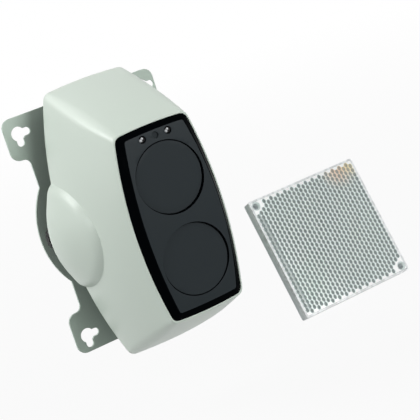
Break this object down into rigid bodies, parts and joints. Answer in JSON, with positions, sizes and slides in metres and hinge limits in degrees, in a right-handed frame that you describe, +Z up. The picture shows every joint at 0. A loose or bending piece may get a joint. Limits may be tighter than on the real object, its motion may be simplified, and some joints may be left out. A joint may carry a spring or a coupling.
{
  "type": "reflective beam detector",
  "caption": "Wall-mounted beam smoke detector head on a two-axis pivot with thumbwheels, with its separate square prism reflector.",
  "frame": {"origin": "centre of the wall plate's back face", "axes": "+Z up the wall, +Y into the wall, +X to the right of someone who faces the detector; the head faces -Y"},
  "size_m": [0.2533, 0.119, 0.2283],
  "materials": {
    "plate_paint": "satin powder coat",
    "zinc_steel": "zinc plated",
    "pin_steel": "turned",
    "wheel_nylon": "moulded, satin",
    "chassis_plastic": "fine spark texture",
    "seal_rubber": "matt",
    "spring_steel": "bright",
    "board_green": "solder mask",
    "terminal_green": "moulded",
    "relay_cream": "moulded",
    "capacitor_sleeve": "shrink sleeve",
    "chip_black": "moulded",
    "switch_red": "moulded",
    "lever_white": "moulded",
    "optic_black": "matt, light-trapping",
    "diode_clear": "clear epoxy",
    "diode_dark": "dark epoxy",
    "lens_acrylic": "polished",
    "cover_plastic": "fine moulded satin",
    "window_black": "gloss, infrared passing",
    "pipe_clear": "polished",
    "tray_white": "moulded",
    "prism_acrylic": "polished"
  },
  "bodies": {
    "wall_plate_group": {"wall_plate": "plate_paint", "pivot_bracket": "zinc_steel", "pan_pivot_pins": "pin_steel", "pan_wheel_bracket": "zinc_steel", "tilt_wheel_bracket": "zinc_steel", "bracket_rivets": "pin_steel", "reflector_tray": "tray_white", "reflector_prism_plate": "prism_acrylic"},
    "pivot_ring_group": {"pivot_ring": "zinc_steel", "tilt_pivot_pins": "pin_steel"},
    "head": {"head_bracket": "zinc_steel", "head_rivets": "pin_steel", "chassis": "chassis_plastic", "pan_adjusting_screw": "pin_steel", "tilt_adjusting_screw": "pin_steel", "adjusting_nuts": "zinc_steel", "cover_seal": "seal_rubber", "cover_clips": "spring_steel", "wire_grommet": "seal_rubber", "main_board": "board_green", "main_board_screws": "pin_steel", "terminal_block": "terminal_green", "terminal_screws": "pin_steel", "relays": "relay_cream", "capacitors": "capacitor_sleeve", "controller_chip": "chip_black", "button_housing": "chip_black", "mode_switch": "switch_red", "optical_moulding": "optic_black", "optical_screws": "pin_steel", "emitter_board": "board_green", "receiver_board": "board_green", "emitter_diode": "diode_clear", "receiver_diode": "diode_dark", "emitter_lens": "lens_acrylic", "receiver_lens": "lens_acrylic", "lens_rings": "optic_black"},
    "front_cover": {"cover": "cover_plastic", "window": "window_black", "status_light_pipes": "pipe_clear"},
    "pan_wheel": {"pan_thumbwheel": "wheel_nylon"},
    "tilt_wheel": {"tilt_thumbwheel": "wheel_nylon"},
    "button": {"alignment_button": "switch_red"},
    "lever_1": {"mode_lever_1": "lever_white"},
    "lever_2": {"mode_lever_2": "lever_white"},
    "lever_3": {"mode_lever_3": "lever_white"},
    "lever_4": {"mode_lever_4": "lever_white"}
  },
  "joints": [
    {"name": "pan", "type": "hinge", "parent": "wall_plate_group", "child": "pivot_ring_group", "pos_m": [0, -0.012, 0], "axis": [0, 0, 1], "range_deg": [-4, 4]},
    {"name": "tilt", "type": "hinge", "parent": "pivot_ring_group", "child": "head", "pos_m": [0, -0.012, 0], "axis": [1, 0, 0], "range_deg": [-4, 4]},
    {"name": "pan_wheel_turn", "type": "hinge", "parent": "wall_plate_group", "child": "pan_wheel", "pos_m": [-0.051, -0.012, 0], "axis": [0, 1, 0], "range_deg": [-321.4, 321.4]},
    {"name": "tilt_wheel_turn", "type": "hinge", "parent": "wall_plate_group", "child": "tilt_wheel", "pos_m": [0, -0.012, -0.084], "axis": [0, 1, 0], "range_deg": [-528.8, 528.8]},
    {"name": "cover_pull", "type": "slide", "parent": "head", "child": "front_cover", "axis": [0, -1, 0], "range_m": [0, 0.13]},
    {"name": "button_press", "type": "slide", "parent": "head", "child": "button", "axis": [0, 1, 0], "range_m": [0, 0.0008], "stiffness_N_per_m": 1500},
    {"name": "lever_1_slide", "type": "slide", "parent": "head", "child": "lever_1", "axis": [0, 0, 1], "range_m": [0, 0.0018]},
    {"name": "lever_2_slide", "type": "slide", "parent": "head", "child": "lever_2", "axis": [0, 0, 1], "range_m": [0, 0.0018]},
    {"name": "lever_3_slide", "type": "slide", "parent": "head", "child": "lever_3", "axis": [0, 0, 1], "range_m": [0, 0.0018]},
    {"name": "lever_4_slide", "type": "slide", "parent": "head", "child": "lever_4", "axis": [0, 0, 1], "range_m": [0, 0.0018]}
  ],
  "couplings": [
    {"joint": "pan_wheel_turn", "follows": "pan", "ratio": 80.111},
    {"joint": "tilt_wheel_turn", "follows": "tilt", "ratio": -131.95}
  ]
}
